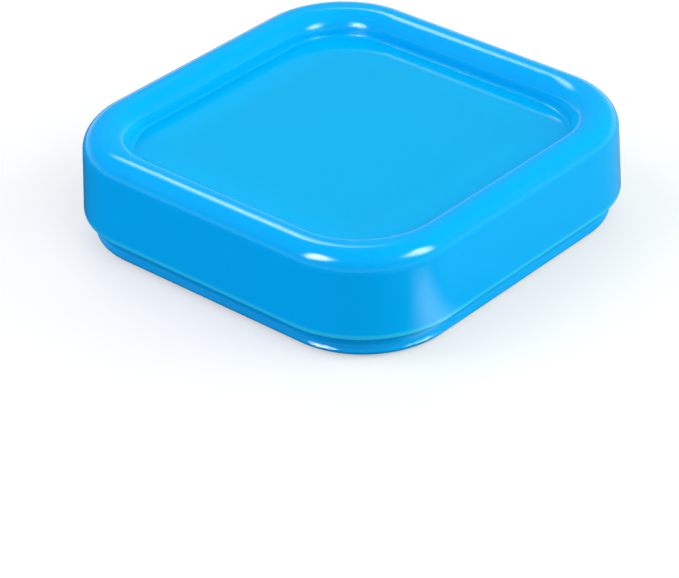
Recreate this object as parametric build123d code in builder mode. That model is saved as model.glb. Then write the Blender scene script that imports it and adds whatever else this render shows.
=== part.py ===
from build123d import *
import os
from math import cos, radians, sin, sqrt, tan

os.makedirs("parts", exist_ok=True)

# Magnetic pin bowl. Millimetres, +Z up, origin on the table under the middle of the bowl.

# Outside of the shell
side = 105.0  # over the skirt's lower edge, before that edge is rounded
corner_radius = 25.0  # of the same outline, seen from above
body_height = 26.8  # underside of the base tray to the rim's crest
skirt_lift = 5.45  # underside of the base tray to the skirt's lower edge
skirt_draft = 3.0  # degrees
wall = 3.0  # of the shell, everywhere
lip_radius = 1.2  # rounding of the skirt's lower outer edge
lip_break = 0.3  # rounding of the skirt's lower inner edge

# Rim and pan
rim_width = 9.15  # skirt to pan at the crest, before the rim is rolled
roll_share = 0.993  # of that width that the roll takes, the rest stays flat
pan_depth = 5.9  # crest to pan floor
pan_draft = 8.0  # degrees, inside wall of the pan
pan_fold_radius = 0.7  # where that wall meets the floor
pan_corner_ease = 3.1  # corner radius of the floor, over one that follows the skirt's
fold_room_share = 0.97  # of the pan's wall above the fold that the roll may take

# Base tray
tray_fit_gap = 0.55  # between the tray's upright wall and the inside of the skirt
tray_wall = 1.8
tray_floor = 2.4
tray_overlap = 5.5  # how far the upright wall reaches up inside the skirt
edge_radius = 1.1  # rounding at the very bottom of the tray
edge_band = 0.1  # upright stretch above it
cove_radius = 2.9  # hollow between that stretch and the upright wall
cove_angle = 45.0  # degrees that the hollow turns

# Magnet stack, from the pan's underside down
tape_thickness = 0.8
tape_margin = 2.0  # inside the magnet's two edges
magnet_diameter = 60.0
magnet_ring_width = 14.0  # bore to outside
magnet_thickness = 8.0
magnet_chamfer = 0.6
keeper_margin = 1.5  # inside the magnet's outer edge
keeper_bore = 6.0  # diameter
keeper_thickness = 1.5
keeper_chamfer = 0.2
foam_margin = 4.5  # inside the keeper's outer edge
collar_gap = 0.4  # between the magnet and the collar that centres it
collar_wall = 1.6
collar_height = 4.0
pad_ring_gap = 0.5  # between the foam pad and the low ring that centres it
pad_ring_wall = 1.4
pad_ring_share = 0.23  # height of that ring, of the foam pad's thickness

# Screws, bosses and feet
screw_inset = 19.5  # of the screws' axes from the skirt's lower edge, both ways
screw_diameter = 2.9
screw_length = 10.0  # under the head
head_diameter = 5.6
head_height = 1.7
head_flat_share = 0.45  # flat middle of the head, of its radius
tip_length = 2.0
tip_diameter = 0.8
recess_width = 0.9  # cross recess in the head
recess_length = 3.4
recess_depth = 1.1
thread_pitch = 1.1
thread_depth = 0.35
pilot_gap = 0.05  # round the screw, in its boss
pilot_run_out = 1.0  # of the pilot hole, past the screw's tip
shank_gap = 0.3  # round the screw, in the tray
head_gap = 0.5  # round the screw's head
head_recess = 0.15  # from the foot's pocket to the head
seat_wall = 1.8  # of the tray, between a head and its boss
seat_side_wall = 1.8  # of the tray, round a head
boss_diameter = 8.0
web_thickness = 1.6
web_depth = 5.0  # of the webs between the collar and the bosses
foot_diameter = 12.0
foot_thickness = 1.5
foot_stand = 0.7  # how far the feet hold the tray off the table
foot_gap = 0.2  # round a foot, in its pocket
foot_rounding = 0.35

# Heights worked out from the sizes
base_z = foot_stand
pocket_z = foot_thickness
crest_z = base_z + body_height
skirt_z = base_z + skirt_lift
pan_z = crest_z - pan_depth
ceiling_z = pan_z - wall
floor_z = base_z + tray_floor
tray_top_z = skirt_z + tray_overlap
head_z = pocket_z + head_recess + head_height
seat_z = head_z + seat_wall
magnet_top_z = ceiling_z - tape_thickness
magnet_z = magnet_top_z - magnet_thickness
keeper_z = magnet_z - keeper_thickness
pad_ring_z = floor_z + (keeper_z - floor_z) * pad_ring_share

# Plan sizes of the shell
skirt_slope = tan(radians(skirt_draft))
pan_slope = tan(radians(pan_draft))
skirt_height = crest_z - skirt_z
pan_inset = skirt_height * skirt_slope + rim_width + pan_depth * pan_slope
pan_side = side - 2 * pan_inset
pan_corner_radius = corner_radius - pan_inset + pan_corner_ease

# The roll is tangent to the skirt, to the pan's wall and to the crest between them
outer_tangent = tan(radians((90 - skirt_draft) / 2))
inner_tangent = tan(radians((90 - pan_draft) / 2))
width_radius = rim_width * roll_share / (outer_tangent + inner_tangent)
depth_radius = (pan_depth - pan_fold_radius) * fold_room_share
roll_radius = min(width_radius, depth_radius)

# Plan sizes of what is inside
root = wall / 2  # how deep collar, webs and bosses are rooted in the pan
collar_radius = magnet_diameter / 2 + collar_gap
magnet_bore = magnet_diameter - 2 * magnet_ring_width
keeper_diameter = magnet_diameter - 2 * keeper_margin
foam_diameter = keeper_diameter - 2 * foam_margin
pad_ring_radius = foam_diameter / 2 + pad_ring_gap
screw_spread = side - 2 * screw_inset
screw_reach = screw_spread / sqrt(2)  # from the middle of the bowl to a screw's axis
pilot_depth = screw_length - seat_wall + pilot_run_out
seat_radius = head_diameter / 2 + head_gap + seat_side_wall

# Shell: one moulding with rim, pan, skirt, magnet collar, webs and screw bosses
with BuildPart() as bowl_shell:
    with BuildSketch(Plane.XY.offset(skirt_z)):
        RectangleRounded(side, side, corner_radius)
    extrude(amount=skirt_height, taper=skirt_draft)
    with BuildSketch(Plane.XY.offset(pan_z)):
        RectangleRounded(pan_side, pan_side, pan_corner_radius)
    extrude(amount=pan_depth, taper=-pan_draft, mode=Mode.SUBTRACT)
    fillet(bowl_shell.edges().group_by(Axis.Z)[-1], radius=roll_radius)
    pan_face = bowl_shell.faces().sort_by_distance((0, 0, pan_z))[0]
    fillet(pan_face.edges(), radius=pan_fold_radius)
    offset(amount=-wall, openings=bowl_shell.faces().sort_by(Axis.Z)[0])

    # The skirt's lower edge is rounded outside and broken inside
    lip_face = bowl_shell.faces().sort_by(Axis.Z)[0]
    fillet(lip_face.outer_wire().edges(), radius=lip_radius)
    lip_face = bowl_shell.faces().sort_by(Axis.Z)[0]
    fillet(lip_face.inner_wires()[0].edges(), radius=lip_break)

    # Collar that centres the magnet, and a web from it to each boss
    with BuildSketch(Plane.XY.offset(ceiling_z - collar_height)):
        Circle(collar_radius + collar_wall)
        Circle(collar_radius, mode=Mode.SUBTRACT)
    extrude(amount=collar_height + root)
    web_start = collar_radius + collar_wall / 2
    with BuildSketch(Plane.XY.offset(ceiling_z - web_depth)):
        with PolarLocations((web_start + screw_reach) / 2, 4, start_angle=45):
            Rectangle(screw_reach - web_start, web_thickness)
    extrude(amount=web_depth + root)

    # Bosses, with blind pilot holes for the screws
    with BuildSketch(Plane.XY.offset(seat_z)):
        with GridLocations(screw_spread, screw_spread, 2, 2):
            Circle(boss_diameter / 2)
    extrude(amount=ceiling_z + root - seat_z)
    with BuildSketch(Plane.XY.offset(seat_z)):
        with GridLocations(screw_spread, screw_spread, 2, 2):
            Circle(screw_diameter / 2 + pilot_gap)
    extrude(amount=pilot_depth, mode=Mode.SUBTRACT)
bowl_shell.part.label = "bowl_shell"
export_step(bowl_shell.part, "parts/bowl_shell.step")

# Section of the tray's edge, in the plane y = 0
cove_turn = radians(cove_angle)
edge_z = base_z + edge_radius + edge_band
wall_z = edge_z + cove_radius * sin(cove_turn)
wall_x = side / 2 - wall - tray_fit_gap + (skirt_z - wall_z) * skirt_slope
wall_top_x = wall_x - (tray_top_z - wall_z) * skirt_slope
edge_x = wall_x + cove_radius * (1 - cos(cove_turn))
inside_x = wall_x - tray_wall

# Base tray: flat floor, hollow-sided foot, and an upright wall that nests inside the skirt
with BuildPart() as base_tray:
    with BuildLine(Plane.XY.offset(base_z)) as quarter_path:
        FilletPolyline((side / 2, 0), (side / 2, side / 2), (0, side / 2), radius=corner_radius)
    with BuildSketch(Plane.XZ) as edge_section:
        with BuildLine():
            Polyline(
                (edge_x - edge_radius, base_z),
                (inside_x, base_z),
                (inside_x, floor_z),
                (wall_top_x - tray_wall, tray_top_z),
                (wall_top_x, tray_top_z),
                (wall_x, wall_z),
            )
            RadiusArc((wall_x, wall_z), (edge_x, edge_z), -cove_radius)
            Line((edge_x, edge_z), (edge_x, base_z + edge_radius))
            RadiusArc((edge_x, base_z + edge_radius), (edge_x - edge_radius, base_z), edge_radius)
        make_face()
    sweep(sections=edge_section.sketch, path=quarter_path.line)
    mirror(about=Plane.XZ)
    mirror(about=Plane.YZ)
    core_half = inside_x + tray_wall / 2
    with BuildSketch(Plane.XY.offset(base_z)):
        RectangleRounded(2 * core_half, 2 * core_half, corner_radius - side / 2 + core_half)
    extrude(amount=tray_floor)

    # Seats for the screws, ring round the foam pad, and a low web between them
    with BuildSketch(Plane.XY.offset(base_z)):
        with GridLocations(screw_spread, screw_spread, 2, 2):
            Circle(seat_radius)
    extrude(amount=seat_z - base_z)
    web_start = pad_ring_radius + pad_ring_wall / 2
    with BuildSketch(Plane.XY.offset(base_z)):
        Circle(pad_ring_radius + pad_ring_wall)
        Circle(pad_ring_radius, mode=Mode.SUBTRACT)
        with PolarLocations((web_start + screw_reach) / 2, 4, start_angle=45):
            Rectangle(screw_reach - web_start, web_thickness)
    extrude(amount=pad_ring_z - base_z)

    # Pockets for the feet, and stepped holes for the screws above them
    with Locations(Plane((0, 0, base_z), z_dir=(0, 0, -1))):
        with GridLocations(screw_spread, screw_spread, 2, 2):
            Hole(radius=foot_diameter / 2 + foot_gap, depth=pocket_z - base_z)
    with Locations(Plane((0, 0, pocket_z), z_dir=(0, 0, -1))):
        with GridLocations(screw_spread, screw_spread, 2, 2):
            CounterBoreHole(
                radius=screw_diameter / 2 + shank_gap,
                counter_bore_radius=head_diameter / 2 + head_gap,
                counter_bore_depth=head_z - pocket_z,
                depth=seat_z - pocket_z,
            )
base_tray.part.label = "base_tray"
export_step(base_tray.part, "parts/base_tray.step")

# Adhesive tape ring between the pan and the magnet
with BuildPart() as magnet_tape:
    with BuildSketch(Plane.XY.offset(magnet_top_z)):
        Circle(magnet_diameter / 2 - tape_margin)
        Circle(magnet_bore / 2 + tape_margin, mode=Mode.SUBTRACT)
    extrude(amount=tape_thickness)
magnet_tape.part.label = "magnet_tape"
export_step(magnet_tape.part, "parts/magnet_tape.step")

# Ferrite ring
with BuildPart() as ring_magnet:
    with BuildSketch(Plane.XY.offset(magnet_z)):
        Circle(magnet_diameter / 2)
        Circle(magnet_bore / 2, mode=Mode.SUBTRACT)
    extrude(amount=magnet_thickness)
    chamfer(ring_magnet.edges().filter_by(GeomType.CIRCLE), length=magnet_chamfer)
ring_magnet.part.label = "ring_magnet"
export_step(ring_magnet.part, "parts/ring_magnet.step")

# Steel keeper on the magnet's lower face
with BuildPart() as keeper_plate:
    with BuildSketch(Plane.XY.offset(keeper_z)):
        Circle(keeper_diameter / 2)
        Circle(keeper_bore / 2, mode=Mode.SUBTRACT)
    extrude(amount=keeper_thickness)
    chamfer(keeper_plate.edges().filter_by(GeomType.CIRCLE), length=keeper_chamfer)
keeper_plate.part.label = "keeper_plate"
export_step(keeper_plate.part, "parts/keeper_plate.step")

# Foam pad that fills the height left between the tray's floor and the keeper
with BuildPart() as foam_pad:
    with BuildSketch(Plane.XY.offset(floor_z)):
        Circle(foam_diameter / 2)
    extrude(amount=keeper_z - floor_z)
foam_pad.part.label = "foam_pad"
export_step(foam_pad.part, "parts/foam_pad.step")

# Outline of one screw: radius and height of each point
shank_radius = screw_diameter / 2
head_radius = head_diameter / 2
flat_radius = head_radius * head_flat_share
head_top_z = head_z - head_height
tip_z = head_z + screw_length
thread_top_z = tip_z - tip_length
thread_count = int((screw_length - tip_length) / thread_pitch)
thread_points = [(shank_radius - thread_depth, head_z)]
for turns_left in range(thread_count, 0, -1):
    turn_z = thread_top_z - turns_left * thread_pitch
    thread_points.append((shank_radius - thread_depth, turn_z))
    thread_points.append((shank_radius, turn_z + thread_pitch / 2))
thread_points.append((shank_radius - thread_depth, thread_top_z))

# Self-tapping screw: domed head with a cross recess, threaded shank, tapered tip
with BuildPart() as one_screw:
    with BuildSketch(Plane.XZ):
        with BuildLine():
            Polyline((head_radius, head_z), *thread_points, (tip_diameter / 2, tip_z), (0, tip_z))
            Polyline((0, tip_z), (0, head_top_z), (flat_radius, head_top_z))
            RadiusArc((flat_radius, head_top_z), (head_radius, head_z), -head_radius)
        make_face()
    revolve(axis=Axis.Z)
    with BuildSketch(Plane.XY.offset(head_top_z)):
        Rectangle(recess_length, recess_width)
        Rectangle(recess_width, recess_length)
    extrude(amount=recess_depth, mode=Mode.SUBTRACT)

# The four screws, as separate solids in one group
with BuildPart() as base_screws:
    with GridLocations(screw_spread, screw_spread, 2, 2):
        add(one_screw.part)
base_screws.part.label = "base_screws"
export_step(base_screws.part, "parts/base_screws.step")

# Soft feet, each in its pocket under a screw head
foot_signs = {
    "foot_front_left": (-1, -1),
    "foot_front_right": (1, -1),
    "foot_back_left": (-1, 1),
    "foot_back_right": (1, 1),
}
for foot_name, (x_sign, y_sign) in foot_signs.items():
    with BuildPart() as foot:
        with BuildSketch(Plane((x_sign * screw_spread / 2, y_sign * screw_spread / 2, 0))):
            Circle(foot_diameter / 2)
        extrude(amount=foot_thickness)
        fillet(foot.edges().sort_by(Axis.Z)[0], radius=foot_rounding)
    foot.part.label = foot_name
    export_step(foot.part, f"parts/{foot_name}.step")
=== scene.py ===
import math

import bmesh
import bpy
from mathutils import Matrix, Vector


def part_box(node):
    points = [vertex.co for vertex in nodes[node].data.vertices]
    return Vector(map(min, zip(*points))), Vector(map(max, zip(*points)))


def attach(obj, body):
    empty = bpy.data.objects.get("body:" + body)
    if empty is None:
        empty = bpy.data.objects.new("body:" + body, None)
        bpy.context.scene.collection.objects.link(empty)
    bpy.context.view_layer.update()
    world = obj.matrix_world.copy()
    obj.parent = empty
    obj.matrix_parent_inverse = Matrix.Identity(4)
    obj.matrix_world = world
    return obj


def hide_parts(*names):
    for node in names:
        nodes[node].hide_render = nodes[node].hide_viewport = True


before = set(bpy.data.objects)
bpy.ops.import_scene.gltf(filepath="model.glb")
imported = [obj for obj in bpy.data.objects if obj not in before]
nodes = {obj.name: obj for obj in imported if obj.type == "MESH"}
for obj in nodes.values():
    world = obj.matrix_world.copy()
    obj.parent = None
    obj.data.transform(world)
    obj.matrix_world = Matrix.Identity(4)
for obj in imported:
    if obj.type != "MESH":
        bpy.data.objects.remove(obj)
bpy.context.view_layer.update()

MM = 0.001

# Camera, fitted to the bowl's outline in the photograph (679 x 578)
PHOTO_WIDTH, SENSOR_WIDTH = 679, 36
AZIMUTH, ELEVATION, ROLL = math.radians(42.08), math.radians(32.43), math.radians(-1.79)
DISTANCE, FOCAL_PX = 694.32 * MM, 2941.05
SLIDE_RIGHT, SLIDE_UP = -2.99 * MM, -29.66 * MM
LOOK_AT = Vector((0, 0, 14.7 * MM))

back = Vector((
    math.sin(AZIMUTH) * math.cos(ELEVATION),
    -math.cos(AZIMUTH) * math.cos(ELEVATION),
    math.sin(ELEVATION),
))
level_right = Vector((math.cos(AZIMUTH), math.sin(AZIMUTH), 0))
level_up = back.cross(level_right)
right = level_right * math.cos(ROLL) + level_up * math.sin(ROLL)
up = level_up * math.cos(ROLL) - level_right * math.sin(ROLL)
eye = LOOK_AT + right * SLIDE_RIGHT + up * SLIDE_UP + back * DISTANCE

camera_data = bpy.data.cameras.new("camera")
camera_data.sensor_width = SENSOR_WIDTH
camera_data.lens = SENSOR_WIDTH * FOCAL_PX / PHOTO_WIDTH
camera_data.clip_start, camera_data.clip_end = 0.01, 20
camera = bpy.data.objects.new("camera", camera_data)
camera.matrix_world = Matrix((
    (right.x, up.x, back.x, eye.x),
    (right.y, up.y, back.y, eye.y),
    (right.z, up.z, back.z, eye.z),
    (0, 0, 0, 1),
))
bpy.context.scene.collection.objects.link(camera)
bpy.context.scene.camera = camera


def place_mesh(name, mesh):
    """Object of that mesh, in the scene."""
    ob = bpy.data.objects.new(name, mesh)
    bpy.context.scene.collection.objects.link(ob)
    return ob


def math_node(tree, operation, first, second):
    """Output of a Math node over two sockets."""
    made = tree.nodes.new("ShaderNodeMath")
    made.operation = operation
    for socket, source in zip(made.inputs, (first, second)):
        tree.links.new(source, socket)
    return made.outputs[0]


# Beams of the box lamps in degrees: open, or hooded
OPEN_BEAM, HOODED_BEAM = 180, 60


def toward(azimuth, elevation):
    """Unit vector at an azimuth from +X and an elevation, in degrees."""
    a, e = math.radians(azimuth), math.radians(elevation)
    return Vector((math.cos(a) * math.cos(e), math.sin(a) * math.cos(e), math.sin(e)))


def hang(name, data, place, facing):
    """Lamp object there, with its back to that direction and its width level."""
    ob = bpy.data.objects.new(name, data)
    ob.rotation_mode = "QUATERNION"
    ob.rotation_quaternion = facing.to_track_quat("Z", "Y")
    ob.location = place
    bpy.context.scene.collection.objects.link(ob)
    return ob


def soft_box(name, place, facing, wide, high, radiance, soft, beam=OPEN_BEAM):
    """Box lamp that only gloss sees. It fades over these shares at its low-azimuth, high-azimuth,
    lower and upper edge, and off its axis over a beam of that many degrees."""
    data = bpy.data.lights.new(name, "AREA")
    data.shape = "RECTANGLE"
    data.size, data.size_y = wide, high
    half = math.radians(beam / 2)
    data.spread = 2 * half
    # A hooded lamp would glow brighter on its axis for the same power, so its power goes down
    hood = 1 - half / math.tan(half) if beam < OPEN_BEAM else 1
    data.energy = radiance * math.pi * wide * high * hood
    data.use_nodes = True
    tree = data.node_tree
    coords = tree.nodes.new("ShaderNodeTexCoord")
    split = tree.nodes.new("ShaderNodeSeparateXYZ")
    tree.links.new(coords.outputs["UV"], split.inputs[0])
    whole = None
    for axis, edges in (("X", soft[:2]), ("Y", soft[2:])):
        for edge, share in zip((0, 1), edges):
            fade = tree.nodes.new("ShaderNodeMapRange")
            fade.interpolation_type = "SMOOTHSTEP"
            tree.links.new(split.outputs[axis], fade.inputs["Value"])
            fade.inputs["From Min"].default_value = edge
            fade.inputs["From Max"].default_value = edge + share - 2 * edge * share
            faded = fade.outputs["Result"]
            whole = faded if whole is None else math_node(tree, "MULTIPLY", whole, faded)
    tree.links.new(whole, tree.nodes["Emission"].inputs["Strength"])
    ob = hang(name, data, place, facing)
    ob.visible_camera = False
    ob.visible_diffuse = False


# The two in front are hooded toward the front corner, so that they do not glare in the pan
# from behind
soft_box(
    "box_left", Vector((9, -190, 120)) * MM, toward(237, 47),
    0.12, 0.145, 115, (0.35, 0.35, 0.35, 0.3), HOODED_BEAM
)
soft_box(
    "box_right", Vector((194, 6.5, 120)) * MM, toward(35, 47),
    0.125, 0.15, 78, (0.3, 0.35, 0.35, 0.3), HOODED_BEAM
)
# The one behind looks at the middle of the bowl from 0.9 m
middle = Vector((0, 0, 20 * MM))
place = middle + toward(152, 48.5) * 0.9
soft_box("box_behind", place, place - middle, 0.65, 0.27, 15.5, (0.6, 0.5, 0.35, 0.35))
# Two small ones make the spots inside the back corner, hooded in the same way: the spot in mm,
# the way from it to the lamp, where the lamp's back faces, its size in mm and its radiance
SPOT_TO_LAMP = 45
for name, spot, way, facing, wide, high, radiance in (
    ("box_back_left", (-40.2, 32.8, 25.1), (0.5, 30), (-22, 15), 29, 40, 100),
    ("box_back_right", (-32.5, 40.2, 24.8), (-82.5, 25), (-63, 12), 27, 38, 110),
):
    place = (Vector(spot) + toward(*way) * SPOT_TO_LAMP) * MM
    soft_box(
        name, place, toward(*facing), wide * MM, high * MM, radiance, (0.42,) * 4, HOODED_BEAM
    )
# A card flat on the table, which glows in the wall right of the front corner
soft_box(
    "card", Vector((74, -27, 0.4)) * MM, Vector((0.001, 0, -1)),
    0.03, 0.055, 4.5, (0.5, 0.5, 0.3, 0.5)
)

# Soft fill, seen by diffuse surfaces only: azimuth, elevation, irradiance and tint
FILL_ANGLE = math.radians(45)
plain = (1, 1, 1)
for k, (azimuth, elevation, level, tint) in enumerate((
    (0, 45, 1.02, plain),
    (135, 45, 0.62, plain),
    (225, 15, 0.5, (1, 1.07, 1.25)),
    (225, 45, 0.98, plain),
    (315, 15, 0.25, plain),
    (315, 60, 0.3, plain),
    (45, 15, 1.65, (1, 1.2, 0.9)),
)):
    data = bpy.data.lights.new(f"fill_{k}", "SUN")
    data.angle = FILL_ANGLE
    data.energy = level
    data.color = tint
    out = toward(azimuth, elevation)
    hang(f"fill_{k}", data, out * 2, out).visible_glossy = False

# World: white at the horizon, a dimmer room above it
world = bpy.data.worlds.new("world")
bpy.context.scene.world = world
world.use_nodes = True
tree = world.node_tree
tree.nodes.clear()
where = tree.nodes.new("ShaderNodeTexCoord")
split = tree.nodes.new("ShaderNodeSeparateXYZ")
ramp = tree.nodes.new("ShaderNodeValToRGB")
ramp.color_ramp.elements[0].position = 0.06
ramp.color_ramp.elements[0].color = (1, 1, 1, 1)
ramp.color_ramp.elements[1].position = 0.22
ramp.color_ramp.elements[1].color = (0.25, 0.25, 0.25, 1)
sky = tree.nodes.new("ShaderNodeBackground")
out = tree.nodes.new("ShaderNodeOutputWorld")
tree.links.new(where.outputs["Generated"], split.inputs[0])
tree.links.new(split.outputs["Z"], ramp.inputs[0])
tree.links.new(ramp.outputs["Color"], sky.inputs["Color"])
tree.links.new(sky.outputs[0], out.inputs["Surface"])

bpy.context.scene.view_settings.view_transform = "Standard"


def material(name):
    """New material with a Principled shader."""
    made = bpy.data.materials.new(name)
    made.use_nodes = True
    return made, made.node_tree, made.node_tree.nodes["Principled BSDF"]


def noise(tree, scale, detail=2.0):
    """Noise over the object's own coordinates, whose unit is a metre."""
    coords = tree.nodes.new("ShaderNodeTexCoord")
    made = tree.nodes.new("ShaderNodeTexNoise")
    made.inputs["Scale"].default_value = scale
    made.inputs["Detail"].default_value = detail
    tree.links.new(coords.outputs["Object"], made.inputs["Vector"])
    return made.outputs["Fac"]


def spread(tree, source, low, high, start=0.3, end=0.7):
    """The source, stretched from start..end to low..high."""
    made = tree.nodes.new("ShaderNodeMapRange")
    tree.links.new(source, made.inputs["Value"])
    for key, value in (("From Min", start), ("From Max", end), ("To Min", low), ("To Max", high)):
        made.inputs[key].default_value = value
    return made.outputs["Result"]


def blend(tree, factor, first, second):
    """The first colour where the factor is 0, the second where it is 1. Either may be a socket."""
    made = tree.nodes.new("ShaderNodeMix")
    made.data_type = "RGBA"
    inputs = [socket for socket in made.inputs if socket.type == "RGBA"]
    for socket, colour in zip(inputs, (first, second)):
        if isinstance(colour, tuple):
            socket.default_value = (*colour, 1)
        else:
            tree.links.new(colour, socket)
    tree.links.new(factor, made.inputs[0])
    return [socket for socket in made.outputs if socket.type == "RGBA"][0]


def bump(tree, shader, height, depth):
    """Bump of that depth in metres."""
    made = tree.nodes.new("ShaderNodeBump")
    made.inputs["Distance"].default_value = depth
    tree.links.new(height, made.inputs["Height"])
    tree.links.new(made.outputs["Normal"], shader.inputs["Normal"])
    return made


# Square under the middle of the pan, from which the materials measure outward: half its side
PAN_SQUARE = 27.4 * MM


def ring_distance(tree):
    """Metres out from that square: the pan ends near 15 mm, and the rim's crest is at 20."""
    source = tree.nodes.new("ShaderNodeTexCoord").outputs["Object"]
    for operation, other in (
        ("ABSOLUTE", (0, 0, 0)),
        ("SUBTRACT", (PAN_SQUARE, PAN_SQUARE, 1)),
        ("MAXIMUM", (0, 0, 0)),
        ("LENGTH", (0, 0, 0)),
    ):
        step = tree.nodes.new("ShaderNodeVectorMath")
        step.operation = operation
        tree.links.new(source, step.inputs[0])
        step.inputs[1].default_value = other
        source = step.outputs["Value" if operation == "LENGTH" else "Vector"]
    return source


def gloss_plastic(name, wall, deeper, pan_painted_light, pan_middle_painted_shade, edge, edge_light_from, edge_light_to):
    """Injection-moulded gloss plastic: faint flow in the colour, fine ripple and handling haze.
    The pan's own tint is painted light, a greener copy for the brighter-lit pan, and painted shade
    deepens it toward the middle. The lower edge band, painted light too, fades over those heights."""
    made, tree, shader = material(name)
    colours = blend(tree, spread(tree, noise(tree, 22, 1), 0, 1), wall, deeper)
    # Pan tint: painted light, a greener copy of the colour for the brighter-lit pan, with painted
    # shade toward its middle
    out = ring_distance(tree)
    pan_painted_tones = blend(tree, spread(tree, out, 0, 1, 0, 13 * MM), pan_middle_painted_shade, pan_painted_light)
    colours = blend(tree, spread(tree, out, 1, 0, 13.5 * MM, 15.5 * MM), colours, pan_painted_tones)
    height = tree.nodes.new("ShaderNodeSeparateXYZ")
    tree.links.new(tree.nodes.new("ShaderNodeTexCoord").outputs["Object"], height.inputs[0])
    # The edge colour below those heights is painted light: a pale painted highlight along the
    # shell's lip, a dark painted shade at the tray's foot
    edge_painted_light = spread(tree, height.outputs["Z"], 1, 0, edge_light_from, edge_light_to)
    colours = blend(tree, edge_painted_light, colours, edge)
    tree.links.new(colours, shader.inputs["Base Color"])
    tree.links.new(spread(tree, noise(tree, 60, 4), 0.06, 0.11), shader.inputs["Roughness"])
    bump(tree, shader, noise(tree, 350, 2), 0.000004)
    shader.inputs["IOR"].default_value = 1.45
    shader.inputs["Specular IOR Level"].default_value = 0.2
    return made


def grainy(name, colour, other, scale, roughness, depth, metallic=0.0):
    """Fine-grained solid: ferrite, rubber or plated steel."""
    made, tree, shader = material(name)
    grain = noise(tree, scale, 6)
    colours = blend(tree, spread(tree, grain, 0, 1), colour, other)
    tree.links.new(colours, shader.inputs["Base Color"])
    patches = noise(tree, scale / 12, 3)
    tree.links.new(spread(tree, patches, *roughness), shader.inputs["Roughness"])
    bump(tree, shader, grain, depth)
    shader.inputs["Metallic"].default_value = metallic
    return made


def cellular(name, colour, pit_painted_shade, cell, depth):
    """Open foam, with cells of that size in metres."""
    made, tree, shader = material(name)
    coords = tree.nodes.new("ShaderNodeTexCoord")
    cells = tree.nodes.new("ShaderNodeTexVoronoi")
    cells.feature = "DISTANCE_TO_EDGE"
    cells.inputs["Scale"].default_value = 1 / cell
    tree.links.new(coords.outputs["Object"], cells.inputs["Vector"])
    # The cells' hollows, away from their edges, take the darker colour: painted shade in the pits
    walls = spread(tree, cells.outputs["Distance"], 0, 1, 0.02, 0.3)
    tree.links.new(blend(tree, walls, colour, pit_painted_shade), shader.inputs["Base Color"])
    bump(tree, shader, walls, depth).invert = True
    shader.inputs["Roughness"].default_value = 0.95
    shader.inputs["Sheen Weight"].default_value = 0.2
    return made


def dress(node, made):
    """The material in every slot of that node."""
    for slot in nodes[node].material_slots:
        slot.material = made


# Shell: the pan's greener tint is painted light and its darker middle painted shade; the pale lip
# colour, fading out between 6.6 and 8 mm up, is a painted highlight
dress("bowl_shell", gloss_plastic(
    "shell_plastic", (0.0, 0.42, 0.95), (0.0, 0.41, 0.94), (0.0, 0.455, 0.89), (0.0, 0.415, 0.81),
    (0.05, 0.72, 1.0), 6.6 * MM, 8.0 * MM
))
# Tray: the darker colour at its foot, fading out between 0.8 and 1.6 mm up, is painted shade
dress("base_tray", gloss_plastic(
    "tray_plastic", (0.0, 0.41, 0.93), (0.0, 0.4, 0.92), (0.0, 0.41, 0.93), (0.0, 0.41, 0.93),
    (0.0, 0.3, 0.7), 0.8 * MM, 1.6 * MM
))
dress("ring_magnet", grainy(
    "ferrite", (0.03, 0.029, 0.028), (0.06, 0.058, 0.056), 2200, (0.45, 0.7), 0.00002
))
zinc = (0.62, 0.64, 0.66), (0.5, 0.53, 0.56)
dress("keeper_plate", grainy("keeper_steel", *zinc, 900, (0.22, 0.4), 0.000006, 1.0))
dress("base_screws", grainy("screw_steel", *zinc, 1800, (0.25, 0.45), 0.000006, 1.0))
rubber = grainy(
    "foot_rubber", (0.02, 0.02, 0.021), (0.035, 0.035, 0.036), 3000, (0.6, 0.85), 0.00002
)
for node in nodes:
    if node.startswith("foot_"):
        dress(node, rubber)


def turned(name, profile, sides=128):
    """Closed mesh turned about Z from a loop of (radius, height) points. Radius 0 is the axis."""
    mesh = bmesh.new()
    rings = []
    for radius, height in profile:
        if radius < 1e-9:
            rings.append([mesh.verts.new((0, 0, height))])
            continue
        rings.append([
            mesh.verts.new((radius * math.cos(a), radius * math.sin(a), height))
            for a in (2 * math.pi * k / sides for k in range(sides))
        ])
    for first, second in zip(rings, rings[1:] + rings[:1]):
        if len(first) == 1 and len(second) == 1:
            continue
        for k in range(sides):
            m = (k + 1) % sides
            corners = [first[0]] if len(first) == 1 else [first[k], first[m]]
            corners += [second[0]] if len(second) == 1 else [second[m], second[k]]
            mesh.faces.new(corners)
    bmesh.ops.recalc_face_normals(mesh, faces=mesh.faces)
    data = bpy.data.meshes.new(name)
    mesh.to_mesh(data)
    mesh.free()
    data.shade_smooth()
    ob = place_mesh(name, data)
    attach(ob, "root")
    return ob


# Foam pad: a die-cut disc, pressed flat by the keeper plate, so that its side bulges
low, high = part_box("foam_pad")
bottom, top = low[2], high[2]
radius = (high[0] - low[0]) / 2
bulge, steps = 0.9 * MM, 12
side = [
    (radius - bulge * (1 - math.cos(a)), (bottom + top) / 2 + (top - bottom) / 2 * math.sin(a))
    for a in (math.pi * (k / steps - 0.5) for k in range(steps + 1))
]
foam_disc = turned(
    "foam_disc", [(0, bottom), (radius * 0.5, bottom), *side, (radius * 0.5, top), (0, top)]
)
# The second, darker colour is painted shade in the foam's pits
foam_disc.data.materials.append(
    cellular("foam", (0.33, 0.34, 0.36), (0.08, 0.08, 0.09), 0.6 * MM, 0.2 * MM)
)
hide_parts("foam_pad")

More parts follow.
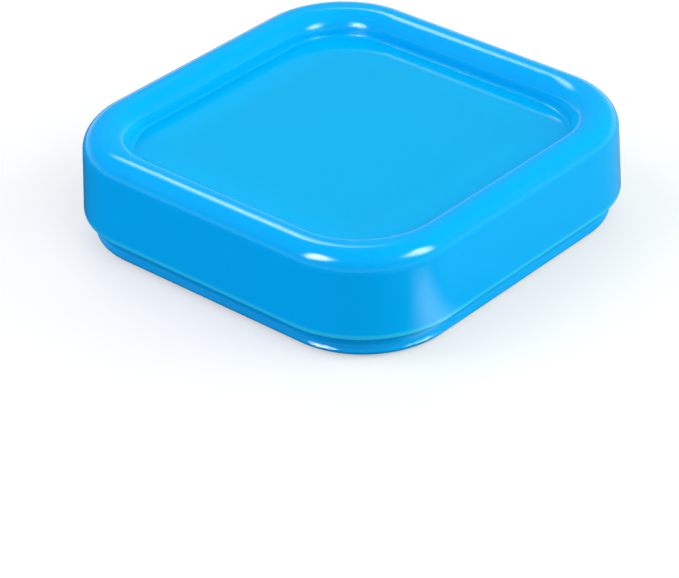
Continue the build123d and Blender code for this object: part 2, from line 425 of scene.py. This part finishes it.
# Magnet tape: a foam core between two films, with the core's edges squeezed out a little
low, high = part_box("magnet_tape")
bottom, top = low[2], high[2]
outer = (high[0] - low[0]) / 2
band, film, proud = 10 * MM, 0.08 * MM, 0.12 * MM
inner, thick = outer - band, top - bottom
edge = [
    (0, 0), (0, film), (1, film * 1.5),
    (1, thick - film * 1.5), (0, thick - film), (0, thick),
]
tape_ring = turned("tape_ring", (
    [(outer - proud + proud * out, bottom + up) for out, up in edge]
    + [(inner + proud - proud * out, bottom + up) for out, up in reversed(edge)]
))
# The second, darker colour is painted shade in the tape core's pits
tape_ring.data.materials.append(
    cellular("foam_tape", (0.75, 0.75, 0.73), (0.45, 0.45, 0.44), 0.2 * MM, 0.04 * MM)
)
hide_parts("magnet_tape")

# Table: white to the camera and in reflections, with the bowl's shadow on it, and a weak bounce
HALF_TABLE = 3.0
floor_mesh = bpy.data.meshes.new("table")
corners = [(HALF_TABLE * x, HALF_TABLE * y, 0) for x, y in ((-1, -1), (1, -1), (1, 1), (-1, 1))]
floor_mesh.from_pydata(corners, [], [(0, 1, 2, 3)])
floor = place_mesh("table", floor_mesh)
made, tree, shader = material("table_white")
shader.inputs["Base Color"].default_value = (0.4, 0.4, 0.42, 1)
shader.inputs["Roughness"].default_value = 0.6
shader.inputs["Specular IOR Level"].default_value = 0
lit = tree.nodes.new("ShaderNodeBsdfDiffuse")
lit.inputs["Color"].default_value = (0.95, 0.95, 0.95, 1)
white = tree.nodes.new("ShaderNodeEmission")
white.inputs["Strength"].default_value = 1
bright = tree.nodes.new("ShaderNodeMixShader")
bright.inputs["Fac"].default_value = 0.5
tree.links.new(lit.outputs[0], bright.inputs[1])
tree.links.new(white.outputs[0], bright.inputs[2])
path = tree.nodes.new("ShaderNodeLightPath").outputs
seen = math_node(tree, "MAXIMUM", path["Is Glossy Ray"], path["Is Transmission Ray"])
seen = math_node(tree, "MAXIMUM", path["Is Camera Ray"], seen)
mix = tree.nodes.new("ShaderNodeMixShader")
tree.links.new(seen, mix.inputs["Fac"])
tree.links.new(shader.outputs[0], mix.inputs[1])
tree.links.new(bright.outputs[0], mix.inputs[2])
tree.links.new(mix.outputs[0], tree.nodes["Material Output"].inputs["Surface"])
floor_mesh.materials.append(made)

# Dark card round the bowl, which only gloss sees, so that the walls stay as deep as in the
# photograph
CARD_RADII, CARD_HEIGHT, CARD_SIDES = (0.03, 0.2), 0.2 * MM, 64
ring = bmesh.new()
inside, outside = (
    [
        ring.verts.new((r * math.cos(a), r * math.sin(a), CARD_HEIGHT))
        for a in (2 * math.pi * k / CARD_SIDES for k in range(CARD_SIDES))
    ]
    for r in CARD_RADII
)
for k in range(CARD_SIDES):
    after = (k + 1) % CARD_SIDES
    ring.faces.new((inside[k], outside[k], outside[after], inside[after]))
card_mesh = bpy.data.meshes.new("dark_card")
ring.to_mesh(card_mesh)
ring.free()
dark_card = place_mesh("dark_card", card_mesh)
# It is paler toward the right of the picture
made, tree, shader = material("card_grey")
right_side = tree.nodes.new("ShaderNodeVectorMath")
right_side.operation = "DOT_PRODUCT"
tree.links.new(tree.nodes.new("ShaderNodeTexCoord").outputs["Object"], right_side.inputs[0])
right_side.inputs[1].default_value = (0.68, 0.73, 0)
lighter = spread(tree, right_side.outputs["Value"], 0, 1, 10 * MM, 50 * MM)
greys = blend(tree, lighter, (0.04, 0.04, 0.04), (0.35, 0.35, 0.35))
tree.links.new(greys, shader.inputs["Base Color"])
shader.inputs["Roughness"].default_value = 1
shader.inputs["Specular IOR Level"].default_value = 0
card_mesh.materials.append(made)
for sight in ("camera", "diffuse", "shadow", "transmission"):
    setattr(dark_card, f"visible_{sight}", False)
